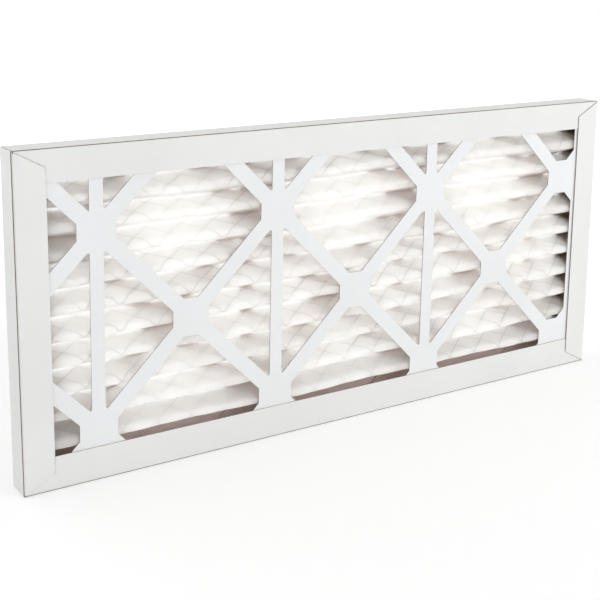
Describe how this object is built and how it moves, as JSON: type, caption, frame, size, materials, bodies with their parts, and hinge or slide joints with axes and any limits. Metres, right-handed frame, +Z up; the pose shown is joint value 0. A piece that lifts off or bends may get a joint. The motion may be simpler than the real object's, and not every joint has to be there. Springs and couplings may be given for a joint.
{
  "type": "pleated panel air filter",
  "caption": "Pleated panel air filter: folded white media over wire backing, held between die-cut diamond lattices in a folded board frame.",
  "frame": {"origin": "middle of the panel's long bottom edge, on the surface that it stands on", "axes": "+X along the long edge to the right as seen from the front, +Y through the panel from the front face to the rear face, +Z up"},
  "size_m": [0.546, 0.024, 0.248],
  "materials": {
    "coated_board": "matt white coated board, brown at its cut edges and inside",
    "filter_media": "soft white non-woven, slightly see-through",
    "backing_wire": "dull galvanised expanded mesh",
    "hot_melt": "translucent cream glue"
  },
  "bodies": {
    "root": {"front_tray": "coated_board", "rear_tray": "coated_board", "front_lattice": "coated_board", "rear_lattice": "coated_board", "pleated_media": "filter_media", "wire_backing": "backing_wire", "bead_left": "hot_melt", "bead_right": "hot_melt"}
  },
  "joints": []
}
